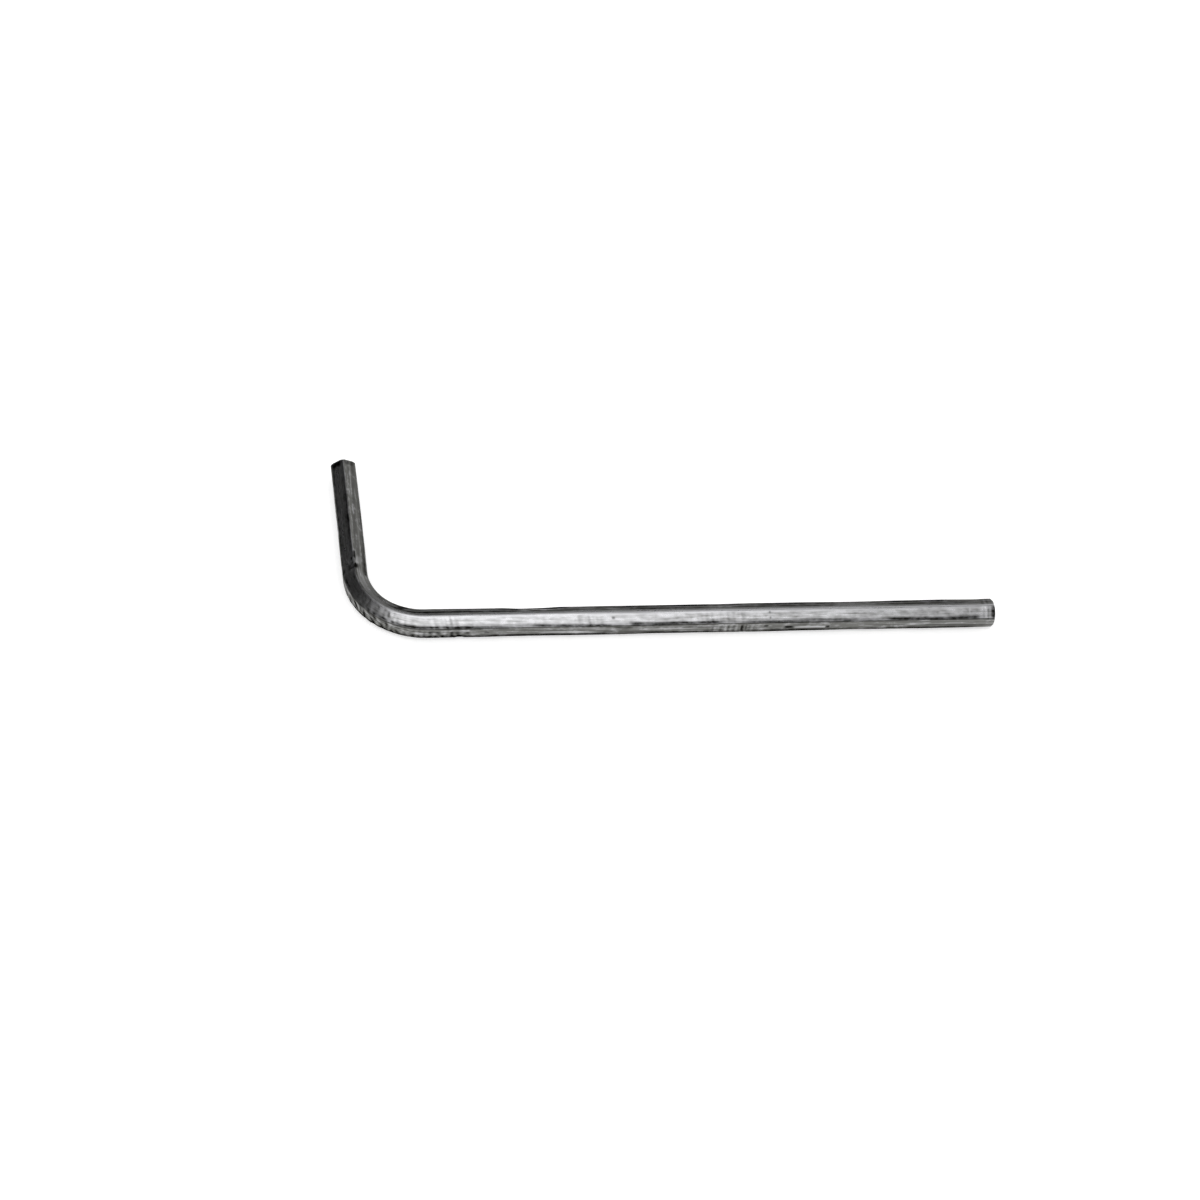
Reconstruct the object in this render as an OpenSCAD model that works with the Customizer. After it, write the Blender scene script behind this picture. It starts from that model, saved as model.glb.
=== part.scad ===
// Hex key for socket screws: one steel bar of six-sided section, bent cold to a square L.
// It lies flat on its lowest long edge, as it rests on a bench. The long arm runs along +X and
// the short arm along +Y. The origin is on the bench, under the middle of the key's box.

/* [Bar] */
// Width across the flats, which is the size that the key is sold by
across_flats = 2; // [1.5:0.5:4]
// Radius of the six long edges, left by drawing the bar
edge_radius = 0.2; // [0.05:0.05:0.4]
// Turn of the bar in the bending tool: the angle of the upper outer flat from level
bar_roll = 38; // [0:1:60]

/* [Arms] */
// Long arm, from its end to the outside of the short arm
long_arm = 52; // [30:1:120]
// Short arm, from its end to the outside of the long arm
short_arm = 18; // [12:0.5:40]
// Depth of the small bevel that takes the burr off each end
end_bevel = 0.15; // [0.05:0.05:0.4]

/* [Bend] */
// Bend radius of the bar's middle line
bend_radius = 5; // [3:0.5:9]
// How far the stretched outside of the bend is drawn in, halfway round
draw_in = 0.1; // [0:0.05:0.5]

/* [Hidden] */
$fn = 96;

// The section is drawn with x away from the inside of the bend and y up, before it is rolled.
// Angles in it run from y towards x. Its flats face 0, 60, 120 and so on, and edge k is the
// round edge between the flats that face 60 * k and 60 * (k + 1).
flat_step = 60;
// Round edges on the outer side of the bend, and on the inner side from underneath to on top
outer_edges = [0, 1];
inner_edges = [2, 3, 4, 5];
// What joins stands proud or runs on by a hair, so that it joins cleanly
hair = 0.001;
round_radius = edge_radius + hair;
to_flat = across_flats / 2;
to_edge_centre = (to_flat - edge_radius) / cos(flat_step / 2);

// The two sides cross where they meet: the inner side is left open towards the outside, between
// flanks that turn away from the outer flats by this angle, and the outer side towards the inside
flank_turn = 8;
upper_flank = 360 - flank_turn;
lower_flank = 120 + flank_turn;
// Each side's opening is closed by a back, this far out and parallel to the flat that it covers
back_distance = to_flat + across_flats / 8;
outer_back = 60;
inner_back = 240;

function direction(angle) = [sin(angle), cos(angle)];
function edge_angle(k) = flat_step * (k + 1 / 2);
function edge_centre(k) = to_edge_centre * direction(edge_angle(k));
function edge_point(k, facing) = edge_centre(k) + edge_radius * direction(facing);
// Point where two lines meet, each given by the way it faces and its distance from the middle
function meeting(a, a_distance, b, b_distance) =
    [a_distance * cos(b) - b_distance * cos(a), b_distance * sin(a) - a_distance * sin(b)]
    / sin(a - b);

// Reach of the rolled section sideways and up, the same on opposite sides
edge_turns = [for (k = concat(outer_edges, inner_edges)) edge_angle(k) + bar_roll];
side_reach = to_edge_centre * max([for (turn = edge_turns) sin(turn)]) + round_radius;
height_reach = to_edge_centre * max([for (turn = edge_turns) cos(turn)]) + round_radius;

// Ends of the arms, measured from the point where their middle lines would cross
long_end = long_arm - side_reach;
short_end = short_arm - side_reach;
// The outer side bends round a centre further in, which draws it in halfway round
outer_bend_radius = bend_radius + draw_in / (sqrt(2) - 1);
// Spare length by which the inner side runs past both ends
overrun = across_flats;

module round_edges(edges) {
    for (k = edges) translate(edge_centre(k)) circle(round_radius);
}

// The three flats and four round edges on the inside of the bend, open on the outside
module inner_side() {
    lowest = inner_edges[0];
    highest = inner_edges[len(inner_edges) - 1];
    upper_distance = edge_point(highest, upper_flank) * direction(upper_flank);
    lower_distance = edge_point(lowest, lower_flank) * direction(lower_flank);
    rotate(-bar_roll) {
        polygon(concat(
            [for (k = inner_edges)
                for (facing = [max(flat_step * k, lower_flank), min(flat_step * (k + 1), upper_flank)])
                    edge_point(k, facing)],
            [meeting(upper_flank, upper_distance, outer_back, back_distance),
             meeting(lower_flank, lower_distance, outer_back, back_distance)]));
        round_edges(inner_edges);
    }
}

// The three flats and two round edges on the outside of the bend, open on the inside
module outer_side() {
    rotate(-bar_roll) {
        polygon(concat(
            [for (k = outer_edges)
                for (facing = [flat_step * k, flat_step * (k + 1)])
                    edge_point(k, facing)],
            [meeting(120, to_flat, inner_back, back_distance),
             meeting(0, to_flat, inner_back, back_distance)]));
        round_edges(outer_edges);
    }
}

// Carries a section along both arms and round a bend of the given radius
module bent_bar(radius, past_ends) {
    arm_start = radius - hair;
    translate([long_end + past_ends, 0, 0]) rotate([90, 0, -90])
        linear_extrude(long_end + past_ends - arm_start) children();
    translate([radius, radius, 0]) rotate([0, 0, 180])
        rotate_extrude(angle = 90) translate([radius, 0]) children();
    translate([0, arm_start, 0]) rotate([90, 0, 180])
        linear_extrude(short_end + past_ends - arm_start) children();
}

// Ring of waste outside the bevel of an end that faces +Z, with the end at the origin
module bevel_waste() {
    end_rim = to_edge_centre + round_radius - end_bevel;
    rotate_extrude() polygon([
        [end_rim - end_bevel, end_bevel],
        [end_rim + across_flats, end_bevel],
        [end_rim + across_flats, -across_flats]]);
}

module hex_key() {
    color("#8b8c8f")
    translate([side_reach - long_arm / 2, side_reach - short_arm / 2, height_reach])
    difference() {
        intersection() {
            bent_bar(bend_radius, overrun) inner_side();
            bent_bar(outer_bend_radius, 0) outer_side();
        }
        translate([long_end, 0, 0]) rotate([0, 90, 0]) bevel_waste();
        translate([0, short_end, 0]) rotate([-90, 0, 0]) bevel_waste();
    }
}

hex_key();
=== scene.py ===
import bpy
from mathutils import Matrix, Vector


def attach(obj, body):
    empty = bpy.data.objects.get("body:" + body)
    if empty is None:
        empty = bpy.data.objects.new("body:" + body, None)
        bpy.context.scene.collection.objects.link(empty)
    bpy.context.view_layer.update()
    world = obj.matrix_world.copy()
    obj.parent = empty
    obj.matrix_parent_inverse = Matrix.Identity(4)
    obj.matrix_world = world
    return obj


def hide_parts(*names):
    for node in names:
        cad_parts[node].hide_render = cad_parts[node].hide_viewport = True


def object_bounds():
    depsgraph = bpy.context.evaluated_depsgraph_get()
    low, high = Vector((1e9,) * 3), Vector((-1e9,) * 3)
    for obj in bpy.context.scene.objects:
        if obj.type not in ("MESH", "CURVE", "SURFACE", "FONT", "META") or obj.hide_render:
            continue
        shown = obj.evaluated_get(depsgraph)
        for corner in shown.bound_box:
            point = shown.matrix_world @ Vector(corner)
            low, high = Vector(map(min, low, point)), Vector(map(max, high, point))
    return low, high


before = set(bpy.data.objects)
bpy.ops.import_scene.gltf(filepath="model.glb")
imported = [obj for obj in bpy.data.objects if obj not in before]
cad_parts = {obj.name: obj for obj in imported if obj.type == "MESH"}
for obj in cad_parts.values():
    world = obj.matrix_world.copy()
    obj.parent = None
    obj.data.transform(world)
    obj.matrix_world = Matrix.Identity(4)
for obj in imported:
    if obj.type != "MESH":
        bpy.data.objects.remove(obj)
cad_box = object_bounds()

from types import SimpleNamespace
from typing import NamedTuple

import bpy
import numpy as np
from mathutils import Matrix, Vector

bl_info = {
    "name": "Hex Key",
    "version": (1, 0, 0),
    "blender": (4, 5, 0),
    "location": "View3D > Sidebar > Hex Key",
    "description": "Makes a worn steel hex key and the small studio that it is shown in",
    "category": "Add Mesh",
}

# One millimetre and one degree, in the scene's own units
MM = 0.001
DEGREE = np.pi / 180

# The six flats, each by its number round the bar from the upper outer one
UPPER_OUTER, OUTER, LOWER_OUTER, LOWER_INNER, INNER, UPPER_INNER = range(6)
FLATS = 6

# Grid of the surface: points on each round edge and each flat, and the step along the bar
EDGE_STEPS = 4
FLAT_STEPS = 12
RING_STEP = 0.067 * MM

# Rings that close an end, as shares of its rim. What is inside this share counts as end face.
CAP_SHARES = np.array([1, 0.97, 0.8, 0.6, 0.4, 0.2, 0.02])[:, None]
END_FACE_SHARE = 0.9
# A bevel slides the rings back over this many bevel depths
BEVEL_REACH = 8

# Names of the mesh attributes that the steel reads
PLACE = "bar_place"
MARKS = "bar_marks"
# Share of the dull steel colour: painted shade of the flats and along the bar, a painted highlight
# at the rims, and the film on the ends
SHADE_AND_FILM = "bar_shade_and_film"

# Places along the bar are in millimetres from the long end, on its middle line. The bend runs from
# 45.9 to 53.7 and the short end is at 65.6, so a list that ends at 66 covers the whole bar. Places
# across a flat are in millimetres from its middle, towards the next flat.

# How far a dark edge line wanders to both sides of its edge
LINE_WANDER = 0.025 * MM

# Dark lines along the edges that show. The line of OUTER, along the lower outer edge, is painted
# shade, a painted reflection of the floor in the key's contact shadow. The line of UPPER_OUTER,
# along its edge with the outer flat, is painted shade, a painted dark reflection of the room in
# front. The other two lines only darken their edges.
# Columns: the flat that the edge follows, how far off the edge the line lies, its width, and its
# strength at places along the bar
DARK_EDGE_LINES = (
    (INNER, 0.12, 0.5, (
        (0, 0.2), (3.6, 0.35), (4, 0.9), (8, 0.8), (9, 0.5), (12.8, 0.35), (13.3, 0.95),
        (18.7, 0.9), (19.5, 0.55), (23, 0.5), (23.5, 0.95), (29.5, 0.9), (30.5, 0.5), (34.5, 0.4),
        (35, 1), (39, 1), (40.5, 0.3), (47, 0.3), (48, 0.9), (49.5, 0.4),
        (53, 0.3), (53.6, 0.9), (54.2, 0.7), (56, 0.4), (66, 0.35),
    )),
    (UPPER_INNER, -0.5, 0.26, (
        (0, 0.15), (1.2, 0.4), (2, 0.7), (8, 0.7), (9, 0.4), (12, 0.35), (13, 0.6), (20, 0.55),
        (22, 0.4), (25, 0.4), (26, 0.7), (29, 0.7), (31, 0.45), (37, 0.6), (39, 0.9), (47, 1),
        (48.5, 0.8), (49.5, 0.3), (53, 0.15), (54, 0.3), (66, 0.2),
    )),
    (UPPER_OUTER, -0.16, 0.3, (
        (0, 0.1), (1.2, 0.3), (1.6, 1), (8.4, 1), (9.2, 0.5), (11, 0.5), (12, 0.85),
        (20, 0.8), (21, 0.45), (22.3, 0.55), (23, 1), (29.4, 1), (30, 0.5), (31, 0.5),
        (32, 0.85), (37, 0.8), (38, 0.5), (40, 0.6), (41, 1), (47, 1), (48, 0.85), (51, 0.65),
        (54, 0.75), (66, 0.8),
    )),
    (OUTER, -0.1, 0.54, (
        (0, 0.1), (1.4, 0.4), (2.2, 0.95), (6.6, 0.95), (7.6, 0.6), (13, 0.6), (13.6, 1),
        (18, 1), (18.6, 0.6), (22.4, 0.6), (22.7, 1), (28, 1), (28.8, 0.65), (31, 0.65),
        (31.8, 1), (36.8, 1), (37.4, 0.9), (47, 1), (49, 0.95), (53, 0.8), (66, 0.4),
    )),
)

# Single marks: flat, place along, place across, length, width and strength, which is below
# nothing for a bright scratch or mark. The marks noted as painted are painted shade and a painted
# highlight
SINGLE_MARKS = (
    # Hammered pits where the bar lay in the bending tool
    (OUTER, 45.7, -0.2, 0.5, 0.4, 0.6),
    (OUTER, 45.1, -0.15, 0.4, 0.4, 0.5),
    (OUTER, 45.4, 0.0, 0.35, 0.25, -0.5),
    (OUTER, 44.6, -0.1, 0.4, 0.3, -0.5),
    (OUTER, 43.8, -0.1, 0.9, 0.5, 0.55),
    (OUTER, 42.9, -0.1, 0.5, 0.3, 0.5),
    (OUTER, 42.2, 0.1, 0.8, 0.2, -0.5),
    (OUTER, 41.3, -0.1, 0.4, 0.25, 0.7),
    # Notch in the lowest edge
    (OUTER, 43.4, 0.36, 0.5, 0.35, 1.0),
    # Band across the upper flat and two smudges beside it
    (UPPER_OUTER, 44.0, 0.0, 0.2, 1.0, 0.22),
    (UPPER_OUTER, 44.0, 0.25, 0.9, 0.25, 0.25),
    (UPPER_OUTER, 41.5, 0.1, 2.2, 0.12, 0.2),
    (UPPER_OUTER, 38.7, 0.1, 0.6, 0.25, 0.22),
    # Bright scratches along the outer flat
    (OUTER, 34.7, 0.05, 4.4, 0.24, -0.9),
    (OUTER, 26.5, -0.1, 3.6, 0.16, -0.6),
    (OUTER, 15.2, 0.0, 2.4, 0.22, -1.2),
    (OUTER, 10.4, 0.0, 0.8, 0.2, -0.3),
    (OUTER, 6.5, -0.05, 1.6, 0.12, -0.6),
    (OUTER, 3.2, -0.2, 1.8, 0.1, -0.6),
    # Painted shade all over the outer flat of the long arm, which darkens it
    (OUTER, 22.5, 0.0, 47, 1.4, 0.08),
    # Painted highlight on the rim of the upper inner flat, by its edge with the upper outer flat,
    # on the long arm
    (UPPER_INNER, 22.5, 0.42, 48, 0.36, -0.6),
    # Smudge over the edge between the upper and the outer flat
    (OUTER, 30.4, -0.3, 1.5, 0.5, 0.45),
    (UPPER_OUTER, 31.1, -0.1, 0.25, 0.2, 0.6),
    # Two dents side by side across the outer flat
    (OUTER, 20.8, 0.0, 0.16, 1.1, 0.7),
    (OUTER, 20.45, 0.0, 0.16, 1.1, 0.7),
    (UPPER_OUTER, 20.6, 0.0, 0.4, 0.7, 0.2),
    # Gouge with a black floor, and the spots on both sides of it
    (OUTER, 18.8, -0.25, 0.4, 0.25, 0.9),
    (OUTER, 16.9, 0.0, 0.9, 0.35, 1.0),
    (OUTER, 15.6, -0.38, 2.6, 0.1, 0.7),
    (OUTER, 13.75, 0.05, 0.35, 0.35, 1.0),
    (UPPER_OUTER, 18.45, -0.35, 0.14, 0.2, 0.6),
    (UPPER_OUTER, 18.45, 0.1, 0.14, 0.2, 0.6),
    # Faint and bright streaks near the long end
    (UPPER_OUTER, 5.2, -0.1, 1.2, 0.12, 0.3),
    (UPPER_OUTER, 3.2, 0.05, 2.6, 0.12, 0.25),
    (UPPER_OUTER, 4.4, -0.3, 2.4, 0.12, -0.4),
    (UPPER_OUTER, 2.1, -0.15, 0.14, 0.5, -0.4),
    # Painted shade at the long end of the upper flat only, a painted dark reflection of its end
    # bevel
    (UPPER_OUTER, 0.12, 0.0, 0.5, 1.1, 1.0),
    # Ding where the short arm meets the bend, and black spots round it
    (UPPER_OUTER, 54.0, -0.3, 0.45, 0.4, 1.0),
    (UPPER_OUTER, 54.8, -0.42, 0.6, 0.2, 0.9),
    (UPPER_OUTER, 53.1, -0.4, 0.9, 0.25, 0.9),
    (UPPER_OUTER, 52.7, 0.35, 1.0, 0.3, 0.9),
    (UPPER_INNER, 53.3, -0.38, 0.6, 0.2, 0.9),
    # Black spots on the short arm
    (UPPER_OUTER, 61.2, -0.38, 1.6, 0.2, 0.6),
    (UPPER_OUTER, 65.5, -0.1, 0.5, 0.5, 0.9),
    (UPPER_OUTER, 64.4, -0.4, 0.6, 0.2, 0.7),
    # Black spots inside the bend, and bright places beside the ding
    (UPPER_INNER, 50.1, -0.2, 0.8, 0.14, 0.9),
    (UPPER_INNER, 48.0, -0.15, 0.7, 0.2, 1.0),
    (UPPER_INNER, 54.15, 0.42, 0.6, 0.5, 1.0),
    (UPPER_INNER, 55.3, 0.47, 0.9, 0.3, 0.9),
    (UPPER_INNER, 54.8, 0.15, 0.9, 0.45, -0.5),
    (UPPER_OUTER, 54.6, -0.18, 0.6, 0.3, -0.9),
    # Darker outer flat round the bend, a lighter upper inner flat there, and a dark band along the
    # upper outer flat's edge with the upper inner flat
    (OUTER, 53.4, 0.0, 10.4, 1.3, 0.42),
    (UPPER_INNER, 51.2, 0.0, 5.0, 1.4, -0.3),
    (UPPER_OUTER, 52.6, -0.52, 6.0, 0.44, 0.7),
    # Short arm: dirt beside both edges of the upper flat and round the sheared end
    (UPPER_OUTER, 60.2, -0.45, 11.6, 0.42, 0.8),
    (UPPER_OUTER, 60.2, 0.4, 11.6, 0.2, 0.7),
    (UPPER_OUTER, 58.5, 0.05, 5, 0.1, -0.3),
    (UPPER_OUTER, 65.4, 0.0, 0.7, 1.2, 0.9),
    (UPPER_INNER, 65.45, 0.0, 0.5, 1.2, 0.5),
    (UPPER_INNER, 59.0, 0.25, 7, 0.1, 0.25),
)

# Dents and, with a depth below nothing, raised places: flat, place along, place across, length,
# width and depth
DENTS = (
    (OUTER, 43.4, 0.5, 0.6, 0.7, 0.05),
    (OUTER, 44.2, 0.1, 0.7, 0.5, 0.03),
    (OUTER, 45.6, -0.1, 0.5, 0.6, 0.03),
    (OUTER, 20.8, 0.0, 0.2, 1.1, 0.025),
    (OUTER, 20.45, 0.0, 0.2, 1.1, 0.025),
    (OUTER, 16.9, 0.0, 0.9, 0.35, 0.04),
    (OUTER, 13.75, 0.05, 0.4, 0.4, 0.03),
    (UPPER_OUTER, 54.0, -0.35, 0.7, 0.5, 0.04),
    (UPPER_INNER, 0.4, 0.0, 1.2, 2.0, -0.03),
    # Flattened place on the far edge
    (INNER, 37.4, 0.55, 3.6, 0.9, 0.07),
)

# Zones of fine marks that run across the bar: flat, place along, length and strength
CROSS_ZONES = (
    (UPPER_OUTER, 44.6, 3.2, 0.1),
    (UPPER_OUTER, 33.2, 2.2, 0.16),
    (UPPER_OUTER, 22.5, 5.0, 0.1),
    (OUTER, 21.6, 3.6, 0.35),
    (OUTER, 45.0, 3.6, 0.2),
    (UPPER_OUTER, 0.7, 1.3, 0.3),
    (UPPER_INNER, 0.7, 1.3, 0.25),
    (UPPER_OUTER, 49.3, 4.2, 0.3),
    (OUTER, 49.6, 6.4, 0.36),
)

# Zones of speckled dirt: flat, place along, length and strength
SPECKLED_ZONES = (
    (OUTER, 51.2, 9.0, 0.4),
    (UPPER_OUTER, 49.8, 3.2, 0.38),
    (UPPER_OUTER, 7.0, 13.0, 0.05),
    (OUTER, 44.4, 4.0, 0.15),
    (UPPER_OUTER, 54.2, 1.6, 0.4),
)

# Fine lines left by drawing, by flat: how far they lighten and darken it
DRAWING_LINES = {
    UPPER_OUTER: 0.07,
    OUTER: 0.2,
    LOWER_OUTER: 0.15,
    LOWER_INNER: 0.15,
    INNER: 0.15,
    UPPER_INNER: 0.18,
}

# Painted shade by flat, from none to full: it mixes in the dull steel colour so that some flats
# read darker, as the light falls on them. What is added along the bar is painted shade too, darker
# towards both ends
FLAT_PAINTED_SHADE = {
    UPPER_OUTER: 0.2,
    OUTER: 1.0,
    LOWER_OUTER: 0.5,
    LOWER_INNER: 0.35,
    INNER: 0.3,
    UPPER_INNER: 0.82,
}
# Where a place isn't named, the value runs straight from the one before to the next
PAINTED_SHADE_ALONG = ((0, 0.22), (8, 0.15), (14, 0.1), (24, 0.1), (30, 0), (46, 0), (52, 0.25), (66, 0.3))

# Film on the sheared ends
END_FILM = 0.6

# Painted highlight at the rims of a flat: the share of the dull colour that it takes off there,
# and the width of the rims
RIM_HIGHLIGHT_SHARE = {UPPER_OUTER: 0.45}
RIM_HIGHLIGHT_WIDTH = 0.13 * MM


class WaveKind(NamedTuple):
    """A kind of random waves: their seed, how many there are, and how they run on the bar."""

    seed: int
    count: int
    shortest: float
    longest: float
    # Range of the whole turns that a wave makes round the bar, without its last number
    turns: tuple = (-3, 4)


DRAWN_SURFACE = WaveKind(3, 9, 4 * MM, 19 * MM)
LINE_BENDS = WaveKind(4, 7, 3 * MM, 14 * MM)
SPECKLES = WaveKind(5, 16, 0.4 * MM, 1.1 * MM, (4, 13))
RIPPLES = WaveKind(8, 14, 0.5 * MM, 1.2 * MM, (3, 11))
DRAWN_LINES = WaveKind(15, 24, 5 * MM, 26 * MM, (9, 34))
CROSS_MARKS = WaveKind(21, 12, 0.3 * MM, 0.9 * MM)

# Patterns of the steel: spots in a millimetre along, outwards and upwards, and the noise itself.
# A streak of drawing is about 2.5 mm long and 0.12 mm wide, so that it just shows, and a patch of
# mottled oxide is about 0.5 mm across.
STREAKS = ((0.4, 8, 8), {"Scale": 1.0, "Detail": 2.0, "Roughness": 0.6})
MOTTLE = ((1.4, 2.6, 2.6), {"Scale": 1.0, "Detail": 4.0, "Roughness": 0.6})

# Ranges of the steel: how streaks and mottle together spread the film to both sides of its mean,
# how much more they do where the film and the painted shade are thicker, how the mottle thins and
# thickens the dirt and painted shade of the marks, and
# how streaks and mottle together set the roughness
FILM_SPREAD = {"From Min": 0.7, "From Max": 1.3, "To Min": -0.5, "To Max": 0.5}
FILM_CONTRAST = {"To Min": 0.55, "To Max": 1.8}
DARK_MARK_SHARE = {"From Min": 0.3, "From Max": 0.7, "To Min": 0.7, "To Max": 1.25}
ROUGHNESS = {"From Min": 0.8, "From Max": 1.3, "To Min": 0.26, "To Max": 0.36}
# What full dirt adds to the roughness, and the height of the streaks and the mottle
DIRT_ROUGHNESS = 0.2
BUMP_HEIGHT = 0.0015 * MM

# Sockets of the colour mix node, which share their names and so go by number
FACTOR, FIRST_COLOUR, SECOND_COLOUR = 0, 6, 7
MIXED_COLOUR = 2

WHITE = (1, 1, 1, 1)

# Floor of white paper: half its side in metres, and the glow that keeps it white in the picture
FLOOR_HALF = 2.0
FLOOR_GLOW = {"To Max": 0.4}
# Light of the world: on the key, and where it is seen
WORLD_LIGHT = {"To Min": 0.85, "To Max": 1.0}
# Soft lamp: sides and distance in metres, radiance, bearing and elevation in degrees
SOFTBOX_SIDES = (0.42, 0.36)
SOFTBOX_DISTANCE = 0.5
SOFTBOX_RADIANCE = 1.36
SOFTBOX_PLACE = (-14, 57)

# Grey cards that the steel reflects, light and dark as the parts of a room: name, grey, and first
# and last bearing and elevation in degrees. Bearings run from the front towards the right.
CARDS = (
    ("front_card", 0.118, (-60, 40), (0, 36)),
    ("right_card", 0.3, (30, 112), (24, 80)),
    ("low_right_card", 0.05, (40, 112), (0, 24)),
    ("back_right_card", 0.95, (112, 148), (0, 60)),
    ("high_back_card", 0.8, (148, 174), (16, 62)),
    ("back_card", 0.05, (148, 174), (0, 16)),
    ("back_left_card", 0.03, (174, 280), (0, 62)),
    ("left_card", 0.3, (280, 293), (0, 62)),
    ("front_left_card", 0.65, (293, 305), (36, 62)),
)
CARD_DISTANCE = 0.25
CARD_STEPS = 24


def linear(hex_colour):
    """A colour as Blender's linear red, green, blue and alpha, from an sRGB hex value."""
    parts = np.array([int(hex_colour[i:i + 2], 16) for i in (1, 3, 5)]) / 255
    low = parts / 12.92
    high = ((parts + 0.055) / 1.055) ** 2.4
    return (*np.where(parts <= 0.04045, low, high), 1.0)


class HexKeyShape(bpy.types.PropertyGroup):
    """Sizes of the bar and of its two arms."""

    across_flats: bpy.props.FloatProperty(
        name="Across Flats",
        description="Width of the bar from one flat to the opposite one",
        default=2 * MM,
        min=1.5 * MM,
        max=4 * MM,
        precision=5,
        unit="LENGTH",
    )
    edge_radius: bpy.props.FloatProperty(
        name="Edge Radius",
        description="Radius of the six long edges",
        default=0.2 * MM,
        min=0.05 * MM,
        max=0.4 * MM,
        precision=5,
        unit="LENGTH",
    )
    bar_roll: bpy.props.FloatProperty(
        name="Bar Roll",
        description="Angle of the upper outer flat from level",
        default=38 * DEGREE,
        subtype="ANGLE",
    )
    long_arm: bpy.props.FloatProperty(
        name="Long Arm",
        description="Length of the long arm to the outside of the short one",
        default=cad_box[1].x - cad_box[0].x,
        precision=5,
        unit="LENGTH",
    )
    short_arm: bpy.props.FloatProperty(
        name="Short Arm",
        description="Length of the short arm to the outside of the long one",
        default=cad_box[1].y - cad_box[0].y,
        precision=5,
        unit="LENGTH",
    )
    end_bevel: bpy.props.FloatProperty(
        name="End Bevel",
        description="Depth of the bevel round the long arm's end",
        default=0.15 * MM,
        precision=5,
        unit="LENGTH",
    )
    short_bevel: bpy.props.FloatProperty(
        name="Short Bevel",
        description="Depth of the sharper bevel round the short arm's end",
        default=0.06 * MM,
        precision=5,
        unit="LENGTH",
    )
    bend_radius: bpy.props.FloatProperty(
        name="Bend Radius",
        description="Radius of the middle line of the bar in the bend",
        default=5 * MM,
        precision=5,
        unit="LENGTH",
    )
    draw_in: bpy.props.FloatProperty(
        name="Draw In",
        description="How far the outside of the bend is drawn in, halfway round",
        default=0.1 * MM,
        precision=5,
        unit="LENGTH",
    )
    ripple: bpy.props.FloatProperty(
        name="Ripple",
        description="Height of the ripples on the stretched outside of the bend",
        default=0.013 * MM,
        precision=6,
        unit="LENGTH",
    )
    waviness: bpy.props.FloatProperty(
        name="Waviness",
        description="Height of the long, shallow waves left by drawing the bar",
        default=0.01 * MM,
        precision=6,
        unit="LENGTH",
    )


class HexKeyFinish(bpy.types.PropertyGroup):
    """Colours of the steel."""

    # Also shows as the painted highlight at the rims of the upper flats
    bright: bpy.props.FloatVectorProperty(
        name="Bright Steel",
        description="Steel where handling keeps it bare",
        default=linear("#b1b1b3"),
        size=4,
        min=0,
        max=1,
        subtype="COLOR",
    )
    # Also mixed in as the painted shade of the flats and of both ends of the bar
    dull: bpy.props.FloatVectorProperty(
        name="Dull Steel",
        description="Steel under a thin film of oxide",
        default=linear("#6d6d6a"),
        size=4,
        min=0,
        max=1,
        subtype="COLOR",
    )
    # Also painted shade: the dark edge lines and the marks noted as painted
    oxide: bpy.props.FloatVectorProperty(
        name="Black Oxide",
        description="Scale and dirt left in marks and pits",
        default=linear("#1c1b19"),
        size=4,
        min=0,
        max=1,
        subtype="COLOR",
    )


class HexKeyStudio(bpy.types.PropertyGroup):
    """The camera's place and the colour of the floor."""

    azimuth: bpy.props.FloatProperty(
        name="Azimuth",
        description="Turn of the camera round the key, from the front towards the right",
        default=-14.01 * DEGREE,
        subtype="ANGLE",
    )
    elevation: bpy.props.FloatProperty(
        name="Elevation",
        description="Angle of the camera above the floor",
        default=47.48 * DEGREE,
        subtype="ANGLE",
    )
    roll: bpy.props.FloatProperty(
        name="Roll",
        description="Turn of the camera about its own line of sight",
        default=9.365 * DEGREE,
        subtype="ANGLE",
    )
    distance: bpy.props.FloatProperty(
        name="Distance",
        description="From the camera to the point that it looks at",
        default=304.5 * MM,
        unit="LENGTH",
    )
    aim: bpy.props.FloatVectorProperty(
        name="Aim",
        description="Point that the camera looks at",
        default=(-5.685 * MM, -5.812 * MM, 1.127 * MM),
        precision=5,
        subtype="TRANSLATION",
        unit="LENGTH",
    )
    lens: bpy.props.FloatProperty(
        name="Lens",
        description="Focal length of the camera, in millimetres",
        default=115.05,
    )
    floor: bpy.props.FloatVectorProperty(
        name="Floor",
        description="Colour of the floor",
        default=linear("#f2f2f2"),
        size=4,
        min=0,
        max=1,
        subtype="COLOR",
    )


def facing(angle):
    """Unit steps outwards and upwards for an angle that runs from up towards the outside."""
    return np.sin(angle), np.cos(angle)


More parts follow.
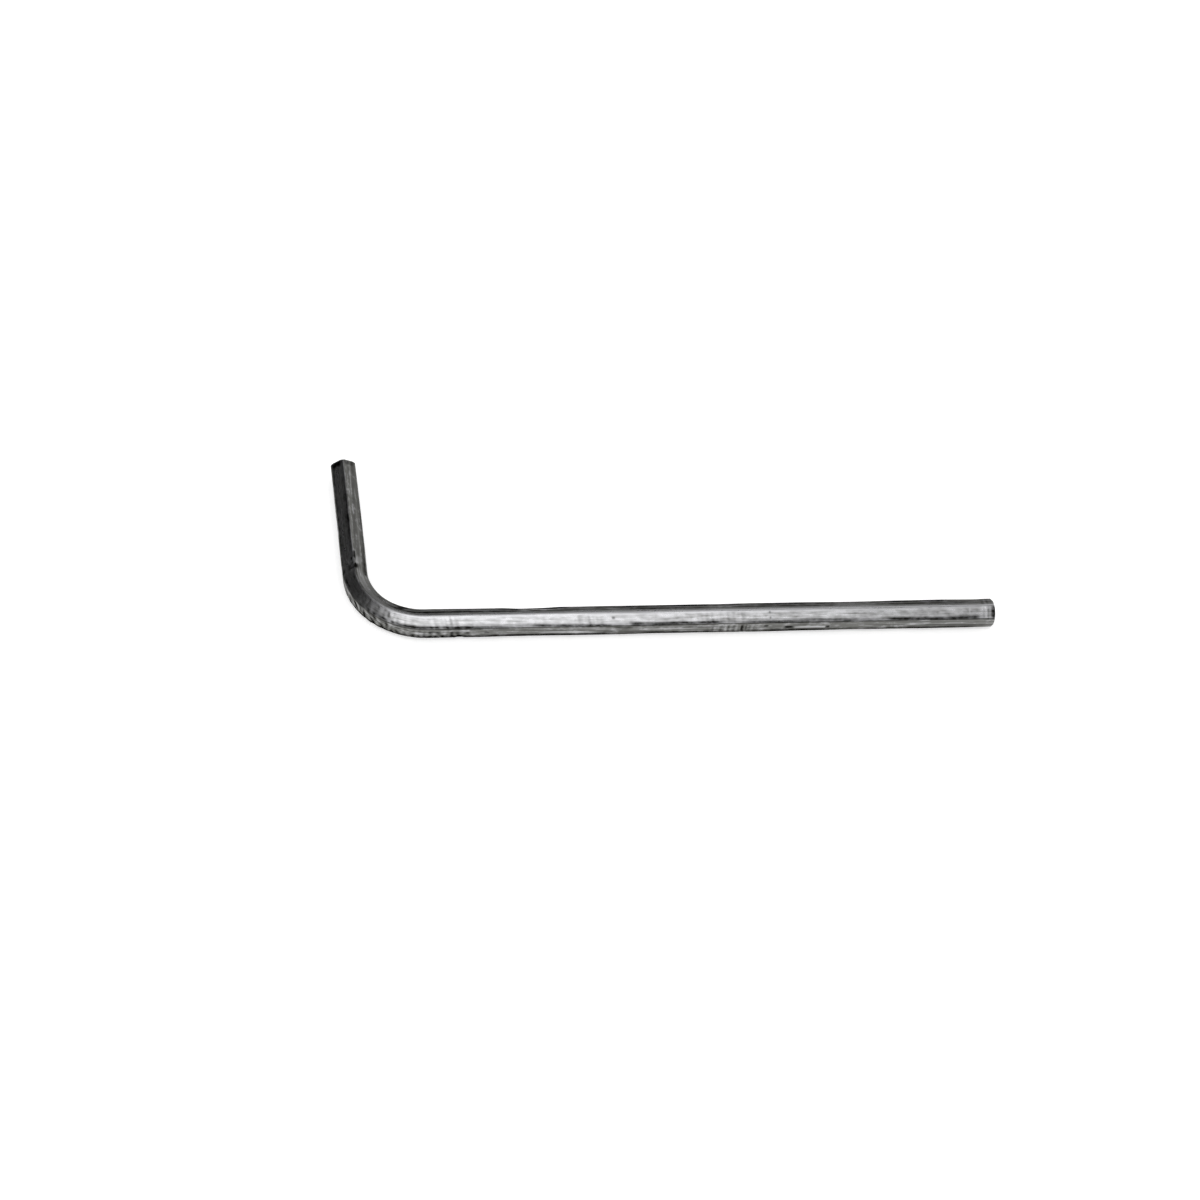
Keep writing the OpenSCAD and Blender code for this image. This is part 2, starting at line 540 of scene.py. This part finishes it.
def section_outline(shape):
    """The bar's rounded hexagon, as one closed ring of points.

    A point of a round edge is the edge's centre plus the edge radius in the direction that the
    point faces. A flat runs straight from one round edge to the next. The roll of the bar is
    added to every angle.
    """
    step = 2 * np.pi / FLATS
    number = np.arange(FLATS)[:, None]
    to_edge_centre = (shape.across_flats / 2 - shape.edge_radius) / np.cos(step / 2)
    centre = facing(step * (number + 1 / 2) + shape.bar_roll)
    turn = np.linspace(0, 1, EDGE_STEPS + 1)[None, :]
    share = (np.arange(1, FLAT_STEPS) / FLAT_STEPS)[None, :]
    edge_face = step * (number + turn) + shape.bar_roll
    edge = [to_edge_centre * c + shape.edge_radius * f for c, f in zip(centre, facing(edge_face))]
    first = [e[:, -1:] for e in edge]
    last = [np.roll(e[:, :1], -1, axis=0) for e in edge]
    flat = [a + (b - a) * share for a, b in zip(first, last)]
    flat_face = edge_face[:, -1:] + 0 * share
    outwards, upwards = (np.hstack(pair).ravel() for pair in zip(edge, flat))
    face = np.hstack((edge_face, flat_face)).ravel()

    flat_length = 2 * to_edge_centre * np.sin(step / 2)
    edge_length = shape.edge_radius * step
    side_length = flat_length + edge_length
    round_part = number * side_length + turn * edge_length
    flat_part = number * side_length + edge_length + share * flat_length
    around = np.hstack((round_part, flat_part)).ravel()

    # The outer side follows a bend that is drawn in, and two flats lead over to the inner side.
    # A flat is in the row of the round edge before it.
    follows = np.zeros((FLATS, EDGE_STEPS + FLAT_STEPS))
    follows[:LOWER_OUTER] = 1
    follows[LOWER_OUTER - 1, EDGE_STEPS + 1:] = 1 - share[0]
    follows[UPPER_OUTER - 1, EDGE_STEPS + 1:] = share[0]

    # Share of a flat's length to its nearer edge, and nothing on the round edges
    on_flat = np.minimum(share, 1 - share) + 0 * number
    from_edge = np.hstack((0 * turn + 0 * number, on_flat)).ravel()
    return SimpleNamespace(
        outwards=outwards,
        upwards=upwards,
        face_out=facing(face)[0],
        face_up=facing(face)[1],
        around=around,
        follows=follows.ravel(),
        from_edge=from_edge * flat_length,
        girth=FLATS * side_length,
        side_length=side_length,
        flat_length=flat_length,
        to_corner=to_edge_centre + shape.edge_radius,
    )


def bar_length(shape, section):
    """Lengths of the long straight, the bend and the short straight, on the middle line."""
    reach = np.max(np.abs(section.outwards))
    long_end = shape.long_arm - reach
    short_end = shape.short_arm - reach
    return SimpleNamespace(
        long_end=long_end,
        short_end=short_end,
        long_straight=long_end - shape.bend_radius,
        bend=shape.bend_radius * np.pi / 2,
        short_straight=short_end - shape.bend_radius,
        total=long_end + short_end - (2 - np.pi / 2) * shape.bend_radius,
        reach=reach,
    )


def middle_line(lengths, along, radius):
    """Points of a line of two straights joined by a quarter circle of the given radius.

    With t as the angle turned, the line is at x = long end less its share of the long straight,
    less radius * sin t, and at y = radius * (1 - cos t) plus its share of the short straight.
    """
    long_share = np.clip(along / lengths.long_straight, 0, 1)
    bend_share = np.clip((along - lengths.long_straight) / lengths.bend, 0, 1)
    short_start = lengths.long_straight + lengths.bend
    short_share = np.clip((along - short_start) / lengths.short_straight, 0, 1)
    angle = bend_share * np.pi / 2
    x = lengths.long_end - long_share * (lengths.long_end - radius) - radius * np.sin(angle)
    y = radius * (1 - np.cos(angle)) + short_share * (lengths.short_end - radius)
    return x, y, angle


def round_gap(section, around, place):
    """Distance round the bar from a place, the short way, from minus to plus half the girth."""
    return (around - place + section.girth / 2) % section.girth - section.girth / 2


def flat_place(section, flat, across):
    """Distance round the bar to a place on a flat, which is measured from the flat's middle."""
    return flat * section.side_length - section.flat_length / 2 + across


def spot(section, along, around, flat, centre_along, across, length, width):
    """A soft oval on the bar: 1 in its middle and falling off as exp(-(a^4 + b^4)).

    The numbers a and b are the distances along and round the bar, in half lengths and widths.
    """
    a = (along - centre_along) / (length / 2)
    b = round_gap(section, around, flat_place(section, flat, across)) / (width / 2)
    return np.exp(-(a ** 4) - b ** 4)


def marks_and_painted_shade(grid):
    """Strength of darkening, above nothing, and of lightening, below it, at each point: dirt and
    painted shade darken, scratches and painted highlights lighten.

    A dark edge line falls off as exp(-g^2) with the gap g from it in half widths, and its strength
    runs straight from each named place along the bar to the next. Where lines and single marks
    overlap, the strongest darkening counts. Cross marks, speckles and drawing lines are added, and
    the scratches and painted highlights are taken off. The sheared ends have none.
    """
    section = grid.section
    along = grid.along
    around = grid.around
    dirt = np.zeros_like(along)
    # The lines along the lower outer edge and along the upper outer flat's edge with the outer
    # flat are painted shade
    for flat, offset, width, strengths in DARK_EDGE_LINES:
        place = flat_place(section, flat, section.flat_length / 2 + offset * MM)
        place += (section.side_length - section.flat_length) / 2
        # Each line wanders in its own way
        bends = LINE_BENDS._replace(seed=LINE_BENDS.seed + flat)
        wander = LINE_WANDER * waves(along, 0 * around, section.girth, bends)
        gap = (round_gap(section, around, place) + wander) / (width * MM / 2)
        places, levels = zip(*strengths)
        line = np.interp(along / MM, places, levels) * np.exp(-(gap ** 2))
        dirt = np.maximum(dirt, line)
    # Single marks hold painted shade, on the outer flat and at the long end of the upper flat, and
    # a painted highlight, on the rim of the upper inner flat
    bright = np.zeros_like(along)
    for flat, place, across, length, width, strength in SINGLE_MARKS:
        sizes = (value * MM for value in (place, across, length, width))
        shape = abs(strength) * spot(section, along, around, flat, *sizes)
        if strength > 0:
            dirt = np.maximum(dirt, shape)
        else:
            bright = np.maximum(bright, shape)
    lines = waves(along, 0 * around, section.girth, CROSS_MARKS)
    for flat, place, length, strength in CROSS_ZONES:
        zone = spot(section, along, around, flat, place * MM, 0, length * MM, section.flat_length)
        dirt = dirt + strength * zone * lines
    speckles = waves(along, around, section.girth, SPECKLES)
    for flat, place, length, strength in SPECKLED_ZONES:
        zone = spot(section, along, around, flat, place * MM, 0, length * MM, section.side_length)
        dirt = dirt + strength * zone * speckles
    drawn = waves(along, around, section.girth, DRAWN_LINES)
    return (dirt - bright + by_flat(section, around, DRAWING_LINES) * drawn) * grid.on_side


def by_flat(section, around, values):
    """The value of the flat that each point is on, or 0 where the flat has none.

    Each round edge is counted to the next flat.
    """
    number = np.ceil(around / section.side_length).astype(int) % FLATS
    return np.array([values.get(flat, 0) for flat in range(FLATS)])[number]


def painted_shade_and_film(grid):
    """Share of the dull steel colour at each point: painted shade from its flat and its place
    along the bar, with a fixed share on the sheared ends.

    Close to the edges of a flat a painted highlight takes the rim's share times exp(-(gap)^2) off
    it, where the gap from the edge is in rim widths.
    """
    section = grid.section
    film = by_flat(section, grid.around, FLAT_PAINTED_SHADE)
    share = by_flat(section, grid.around, RIM_HIGHLIGHT_SHARE)
    places, added = zip(*PAINTED_SHADE_ALONG)
    rim_highlight = share * np.exp(-((section.from_edge / RIM_HIGHLIGHT_WIDTH) ** 2))
    film = film + np.interp(grid.along / MM, places, added) - rim_highlight
    return END_FILM + (film - END_FILM) * grid.on_side


def dent_depth(section, along, around):
    """Depth below the drawn surface at each point: the sum of the dents there."""
    total = np.zeros(along.shape)
    for flat, place, across, length, width, depth in DENTS:
        sizes = (value * MM for value in (place, across, length, width))
        total += depth * MM * spot(section, along, around, flat, *sizes)
    return total


def waves(along, around, girth, kind):
    """A sum of sine waves of random lengths and phases, which closes round the bar.

    Each wave makes a whole number of turns, so with many turns its crests run askew.
    """
    chance = np.random.default_rng(kind.seed)
    total = np.zeros(np.broadcast(along, around).shape)
    for _ in range(kind.count):
        length = chance.uniform(kind.shortest, kind.longest)
        turns = chance.integers(*kind.turns)
        phase = chance.uniform(0, 2 * np.pi)
        total += np.sin(2 * np.pi * (along / length + turns * around / girth) + phase)
    return total / np.sqrt(kind.count)


def bent(lengths, along):
    """How far a place is in the bend: 0 on the arms, 1 in its middle, as a squared sine."""
    share = np.clip((along - lengths.long_straight) / lengths.bend, 0, 1)
    return np.sin(np.pi * share) ** 2


def bar_surface(shape):
    """The whole key as a closed grid of rings from the long end to the short one.

    A point is the middle line plus its section's outward part along the bend's outward
    direction and its upward part along Z. The outer side's middle line has a larger bend
    radius, by the draw-in over sqrt(2) - 1, which draws it in by the draw-in halfway round. At
    each end the rings slide back by the bevel's depth, and smaller rings close the end.
    """
    section = section_outline(shape)
    lengths = bar_length(shape, section)
    rings = int(lengths.total / RING_STEP)
    along = np.linspace(0, lengths.total, rings)[:, None]
    corner = np.hypot(section.outwards, section.upwards)
    start_rim = section.to_corner - shape.end_bevel
    finish_rim = section.to_corner - shape.short_bevel
    soft_length = BEVEL_REACH * shape.end_bevel
    from_start = np.clip(1 - along / soft_length, 0, 1)
    from_finish = np.clip(1 - (lengths.total - along) / soft_length, 0, 1)
    along = along + np.maximum(corner - start_rim, 0) * from_start
    along = along - np.maximum(corner - finish_rim, 0) * from_finish
    scale = np.ones_like(along)

    side_share = np.vstack((CAP_SHARES[::-1], scale[:, :1], CAP_SHARES))
    start_scale = CAP_SHARES[::-1] * (start_rim / np.maximum(corner, start_rim))
    finish_scale = CAP_SHARES * (finish_rim / np.maximum(corner, finish_rim))
    start = np.zeros_like(start_scale)
    along = np.vstack((start, along, start + lengths.total))
    scale = np.vstack((start_scale, scale, finish_scale))
    around = np.broadcast_to(section.around, along.shape)

    height = shape.waviness * waves(along, around, section.girth, DRAWN_SURFACE)
    ripples = waves(along, around, section.girth, RIPPLES)
    height += shape.ripple * ripples * bent(lengths, along) * section.follows
    height -= dent_depth(section, along, around)
    out_part = scale * (section.outwards + height * section.face_out)
    up_part = scale * (section.upwards + height * section.face_up)

    outer_radius = shape.bend_radius + shape.draw_in / (np.sqrt(2) - 1)
    x, y, angle = middle_line(lengths, along, shape.bend_radius)
    outer_x, outer_y, _ = middle_line(lengths, along, outer_radius)
    x = x + (outer_x - x) * section.follows - np.sin(angle) * out_part
    y = y + (outer_y - y) * section.follows - np.cos(angle) * out_part
    points = np.stack((x, y, up_part), axis=-1)
    points[..., 0] += lengths.reach - shape.long_arm / 2
    points[..., 1] += lengths.reach - shape.short_arm / 2
    points[..., 2] += np.max(np.abs(section.upwards))
    return SimpleNamespace(
        points=points,
        along=along,
        around=around,
        scale=scale,
        on_side=np.clip((side_share - END_FACE_SHARE) / (1 - END_FACE_SHARE), 0, 1),
        section=section,
    )


def closed_grid_mesh(name, points):
    """A mesh of a grid of rings that join into a tube, with each end closed by a middle point."""
    rings, count = points.shape[:2]
    body = points.reshape(-1, 3)
    ends = np.stack((points[0].mean(axis=0), points[-1].mean(axis=0)))
    number = np.arange(rings * count).reshape(rings, count)
    nearer, further = number[:-1], number[1:]
    quads = np.stack((
        nearer,
        further,
        np.roll(further, -1, axis=1),
        np.roll(nearer, -1, axis=1),
    ), axis=-1).reshape(-1, 4)
    first, last = number[0], number[-1]
    start_fan = np.stack((first, np.roll(first, -1), np.full(count, rings * count)), axis=-1)
    end_fan = np.stack((np.roll(last, -1), last, np.full(count, rings * count + 1)), axis=-1)
    fans = np.vstack((start_fan, end_fan))
    mesh = bpy.data.meshes.new(name)
    vertices = np.vstack((body, ends))
    mesh.vertices.add(len(vertices))
    mesh.vertices.foreach_set("co", vertices.ravel())
    corners = np.concatenate((quads.ravel(), fans.ravel()))
    sizes = np.concatenate((np.full(len(quads), 4), np.full(len(fans), 3)))
    mesh.loops.add(len(corners))
    mesh.loops.foreach_set("vertex_index", corners)
    mesh.polygons.add(len(sizes))
    mesh.polygons.foreach_set("loop_start", np.concatenate(([0], np.cumsum(sizes)[:-1])))
    mesh.update(calc_edges=True)
    mesh.polygons.foreach_set("use_smooth", np.ones(len(sizes), bool))
    mesh.validate()
    return mesh


def set_attribute(mesh, name, kind, values):
    """Stores one value for each point, given as rings, with the end points last."""
    width = 3 if kind == "FLOAT_VECTOR" else 1
    rings = values.reshape(values.shape[0], -1, width)
    ends = np.stack((rings[0].mean(axis=0), rings[-1].mean(axis=0)))
    data = np.vstack((rings.reshape(-1, width), ends)).astype(np.float32)
    field = "vector" if kind == "FLOAT_VECTOR" else "value"
    mesh.attributes.new(name, kind, "POINT").data.foreach_set(field, data.ravel())


def add_node(tree, kind, inputs=None, **settings):
    """Adds a node with its settings, and sets its inputs or links them to other sockets."""
    node = tree.nodes.new(kind)
    for name, value in settings.items():
        setattr(node, name, value)
    for name, value in (inputs or {}).items():
        if isinstance(value, bpy.types.NodeSocket):
            tree.links.new(value, node.inputs[name])
        else:
            node.inputs[name].default_value = value
    return node


def new_material(name):
    """A material with an empty node tree."""
    material = bpy.data.materials.new(name)
    material.use_nodes = True
    material.node_tree.nodes.clear()
    return material


def drawn_steel(finish):
    """Cold-drawn carbon steel, worn and slightly oxidised, as it leaves a tool drawer.

    Drawing leaves fine streaks along the bar, and thin oxide and dirt stay in pits and in marks,
    so the grey is broken up and never mirror bright. Painted shade makes some flats, both ends and
    some edges darker, as the light falls on them, and a painted highlight lightens the rims of the
    upper flats.
    """
    material = new_material("drawn_carbon_steel")
    tree = material.node_tree
    place = add_node(tree, "ShaderNodeAttribute", attribute_name=PLACE).outputs["Vector"]
    marks = add_node(tree, "ShaderNodeAttribute", attribute_name=MARKS).outputs["Fac"]
    film = add_node(tree, "ShaderNodeAttribute", attribute_name=SHADE_AND_FILM).outputs["Fac"]

    patterns = []
    for scale, noise in (STREAKS, MOTTLE):
        scaled = add_node(tree, "ShaderNodeMapping", {"Vector": place, "Scale": scale})
        source = {"Vector": scaled.outputs["Vector"]}
        patterns.append(add_node(tree, "ShaderNodeTexNoise", source | noise).outputs["Fac"])
    streaks, mottle = patterns

    # The film and the painted shade, with their streaks and mottle, kept from 0 to 1
    uneven = add_node(
        tree,
        "ShaderNodeMath",
        {0: streaks, 1: mottle},
        operation="ADD",
    ).outputs["Value"]
    spread = add_node(
        tree,
        "ShaderNodeMapRange",
        {"Value": uneven} | FILM_SPREAD,
        clamp=False,
    ).outputs["Result"]
    contrast = add_node(
        tree,
        "ShaderNodeMapRange",
        {"Value": film} | FILM_CONTRAST,
    ).outputs["Result"]
    covered = add_node(
        tree,
        "ShaderNodeMath",
        {0: spread, 1: contrast, 2: film},
        operation="MULTIPLY_ADD",
        use_clamp=True,
    ).outputs["Value"]

    # Marks above nothing are dirt and painted shade, which the mottle breaks up, and scratches and
    # painted highlights take the film and the painted shade off
    broken = add_node(
        tree,
        "ShaderNodeMapRange",
        {"Value": mottle} | DARK_MARK_SHARE,
    ).outputs["Result"]
    dark = add_node(
        tree,
        "ShaderNodeMath",
        {0: marks, 1: broken},
        operation="MULTIPLY",
        use_clamp=True,
    ).outputs["Value"]
    scratched = add_node(
        tree,
        "ShaderNodeMath",
        {0: marks, 1: 0.0},
        operation="MINIMUM",
    ).outputs["Value"]
    bared = add_node(
        tree,
        "ShaderNodeMath",
        {0: covered, 1: scratched},
        operation="ADD",
        use_clamp=True,
    ).outputs["Value"]

    # Steel goes dull under the film and the painted shade, and black under the dirt and the
    # painted shade of the marks
    bare = add_node(
        tree,
        "ShaderNodeMix",
        {FACTOR: bared, FIRST_COLOUR: finish.bright, SECOND_COLOUR: finish.dull},
        data_type="RGBA",
    ).outputs[MIXED_COLOUR]
    steel = add_node(
        tree,
        "ShaderNodeMix",
        {FACTOR: dark, FIRST_COLOUR: bare, SECOND_COLOUR: finish.oxide},
        data_type="RGBA",
    ).outputs[MIXED_COLOUR]
    # Dirt and the painted shade of the marks are matt, so they stay dark where bare metal would
    # shine at a glancing angle
    glance = add_node(
        tree,
        "ShaderNodeMix",
        {FACTOR: dark, FIRST_COLOUR: WHITE, SECOND_COLOUR: finish.oxide},
        data_type="RGBA",
    ).outputs[MIXED_COLOUR]

    roughness = add_node(
        tree,
        "ShaderNodeMapRange",
        {"Value": uneven} | ROUGHNESS,
    ).outputs["Result"]
    rough = add_node(
        tree,
        "ShaderNodeMath",
        {0: dark, 1: DIRT_ROUGHNESS, 2: roughness},
        operation="MULTIPLY_ADD",
    ).outputs["Value"]
    bump = add_node(
        tree,
        "ShaderNodeBump",
        {"Height": uneven, "Strength": 1.0, "Distance": BUMP_HEIGHT},
    ).outputs["Normal"]
    shader = add_node(
        tree,
        "ShaderNodeBsdfPrincipled",
        {
            "Base Color": steel,
            "Metallic": 1.0,
            "Roughness": rough,
            "Specular Tint": glance,
            "Normal": bump,
        },
    )
    add_node(tree, "ShaderNodeOutputMaterial", {"Surface": shader.outputs["BSDF"]})
    return material


class MakeKey(bpy.types.Operator):
    """Makes the key: one bent bar with its wear, in drawn steel"""

    bl_idname = "hex_key.make_key"
    bl_label = "Make Key"

    def execute(self, context):
        shape = context.scene.hex_key_shape
        grid = bar_surface(shape)
        mesh = closed_grid_mesh("worn_hex_key", grid.points)
        section = grid.section
        place = np.stack((
            grid.along / MM,
            grid.scale * section.outwards / MM,
            grid.scale * section.upwards / MM,
        ), axis=-1)
        set_attribute(mesh, PLACE, "FLOAT_VECTOR", place)
        set_attribute(mesh, MARKS, "FLOAT", marks_and_painted_shade(grid))
        set_attribute(mesh, SHADE_AND_FILM, "FLOAT", painted_shade_and_film(grid))
        mesh.materials.append(drawn_steel(context.scene.hex_key_finish))
        key = bpy.data.objects.new("worn_hex_key", mesh)
        context.collection.objects.link(key)
        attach(key, "root")
        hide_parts("hex_key")
        return {"FINISHED"}


def direction(bearing, elevation):
    """Unit vector for a bearing that runs from the front (-Y) towards the right (+X)."""
    level = np.cos(elevation)
    return np.stack((
        np.sin(bearing) * level,
        -np.cos(bearing) * level,
        np.sin(elevation) + 0 * bearing,
    ), axis=-1)


def add_card(name, grey, bearings, elevations):
    """Adds a curved card of one grey round the key, which only its reflections show.

    It is the part of a sphere between two bearings and two elevations.
    """
    bearing = np.linspace(*bearings, CARD_STEPS)[None, :] * DEGREE
    elevation = np.linspace(*elevations, CARD_STEPS)[:, None] * DEGREE
    points = CARD_DISTANCE * direction(bearing + 0 * elevation, elevation + 0 * bearing)
    number = np.arange(CARD_STEPS ** 2).reshape(CARD_STEPS, CARD_STEPS)
    quads = np.stack((number[:-1, :-1], number[:-1, 1:], number[1:, 1:], number[1:, :-1]), axis=-1)
    mesh = bpy.data.meshes.new(name)
    mesh.from_pydata(points.reshape(-1, 3), [], quads.reshape(-1, 4).tolist())
    material = new_material(name)
    tree = material.node_tree
    glow = add_node(tree, "ShaderNodeEmission", {"Color": (grey, grey, grey, 1), "Strength": 1.0})
    add_node(tree, "ShaderNodeOutputMaterial", {"Surface": glow.outputs["Emission"]})
    mesh.materials.append(material)
    sheet = bpy.data.objects.new(name, mesh)
    bpy.context.collection.objects.link(sheet)
    sheet.visible_camera = False
    sheet.visible_diffuse = False
    sheet.visible_transmission = False
    sheet.visible_shadow = False


def seen_background(tree):
    """1 for rays that show the background: from the camera, a reflection or through glass."""
    path = add_node(tree, "ShaderNodeLightPath")
    seen = path.outputs["Is Camera Ray"]
    for name in ("Is Glossy Ray", "Is Transmission Ray"):
        seen = add_node(
            tree,
            "ShaderNodeMath",
            {0: seen, 1: path.outputs[name]},
            operation="MAXIMUM",
        ).outputs["Value"]
    return seen


class MakeStage(bpy.types.Operator):
    """Makes the stage: the camera, a pale floor, a soft lamp, grey cards and a pale world"""

    bl_idname = "hex_key.make_stage"
    bl_label = "Make Stage"

    def execute(self, context):
        studio = context.scene.hex_key_studio
        self.make_camera(context, studio)
        self.make_floor(context, studio)
        self.make_lights(context)
        context.scene.view_settings.view_transform = "Standard"
        return {"FINISHED"}

    def make_camera(self, context, studio):
        data = bpy.data.cameras.new("camera")
        data.lens = studio.lens
        data.clip_start = 10 * MM
        data.clip_end = 10
        camera = bpy.data.objects.new("camera", data)
        context.collection.objects.link(camera)
        back = Vector(direction(np.float64(studio.azimuth), np.float64(studio.elevation)))
        right = Vector((0, 0, 1)).cross(back).normalized()
        up = back.cross(right)
        turned = Matrix.Rotation(studio.roll, 3, "Z")
        axes = Matrix((right, up, back)).transposed() @ turned
        place = Vector(studio.aim) + back * studio.distance
        camera.matrix_world = Matrix.Translation(place) @ axes.to_4x4()
        context.scene.camera = camera

    def make_floor(self, context, studio):
        sides = ((-1, -1), (1, -1), (1, 1), (-1, 1))
        corners = [(FLOOR_HALF * x, FLOOR_HALF * y, 0) for x, y in sides]
        mesh = bpy.data.meshes.new("floor")
        mesh.from_pydata(corners, [], [(0, 1, 2, 3)])
        material = new_material("white_paper")
        tree = material.node_tree
        paper = add_node(tree, "ShaderNodeBsdfDiffuse", {"Color": tuple(studio.floor)})
        level = add_node(
            tree,
            "ShaderNodeMapRange",
            {"Value": seen_background(tree)} | FLOOR_GLOW,
        ).outputs["Result"]
        glow = add_node(tree, "ShaderNodeEmission", {"Color": WHITE, "Strength": level})
        both = add_node(
            tree,
            "ShaderNodeAddShader",
            {0: paper.outputs["BSDF"], 1: glow.outputs["Emission"]},
        )
        add_node(tree, "ShaderNodeOutputMaterial", {"Surface": both.outputs["Shader"]})
        mesh.materials.append(material)
        floor = bpy.data.objects.new("floor", mesh)
        context.collection.objects.link(floor)

    def make_lights(self, context):
        world = bpy.data.worlds.new("pale_room")
        world.use_nodes = True
        tree = world.node_tree
        tree.nodes.clear()
        level = add_node(
            tree,
            "ShaderNodeMapRange",
            {"Value": seen_background(tree)} | WORLD_LIGHT,
        ).outputs["Result"]
        sky = add_node(tree, "ShaderNodeBackground", {"Color": WHITE, "Strength": level})
        add_node(tree, "ShaderNodeOutputWorld", {"Surface": sky.outputs["Background"]})
        context.scene.world = world

        box = bpy.data.lights.new("softbox", "AREA")
        box.shape = "RECTANGLE"
        box.size, box.size_y = SOFTBOX_SIDES
        box.energy = SOFTBOX_RADIANCE * np.pi * box.size * box.size_y
        lamp = bpy.data.objects.new("softbox", box)
        context.collection.objects.link(lamp)
        bearing, elevation = (np.float64(angle * DEGREE) for angle in SOFTBOX_PLACE)
        towards = Vector(direction(bearing, elevation))
        facing_key = towards.to_track_quat("Z", "Y").to_matrix().to_4x4()
        lamp.matrix_world = Matrix.Translation(towards * SOFTBOX_DISTANCE) @ facing_key

        for row in CARDS:
            add_card(*row)


class HexKeyPanel(bpy.types.Panel):
    """Sidebar panel with the sizes, the colours and the buttons."""

    bl_idname = "VIEW3D_PT_hex_key"
    bl_label = "Hex Key"
    bl_space_type = "VIEW_3D"
    bl_region_type = "UI"
    bl_category = "Hex Key"

    def draw(self, context):
        for group in (
            context.scene.hex_key_shape,
            context.scene.hex_key_finish,
            context.scene.hex_key_studio,
        ):
            column = self.layout.column()
            for name in group.__annotations__:
                column.prop(group, name)
        for operator in (MakeKey, MakeStage):
            self.layout.operator(operator.bl_idname)


CLASSES = (HexKeyShape, HexKeyFinish, HexKeyStudio, MakeKey, MakeStage, HexKeyPanel)


def register():
    for entry in CLASSES:
        bpy.utils.register_class(entry)
    bpy.types.Scene.hex_key_shape = bpy.props.PointerProperty(type=HexKeyShape)
    bpy.types.Scene.hex_key_finish = bpy.props.PointerProperty(type=HexKeyFinish)
    bpy.types.Scene.hex_key_studio = bpy.props.PointerProperty(type=HexKeyStudio)


def unregister():
    del bpy.types.Scene.hex_key_studio
    del bpy.types.Scene.hex_key_finish
    del bpy.types.Scene.hex_key_shape
    for entry in reversed(CLASSES):
        bpy.utils.unregister_class(entry)


def main():
    register()
    bpy.ops.hex_key.make_stage()
    bpy.ops.hex_key.make_key()


if __name__ == "__main__":
    main()
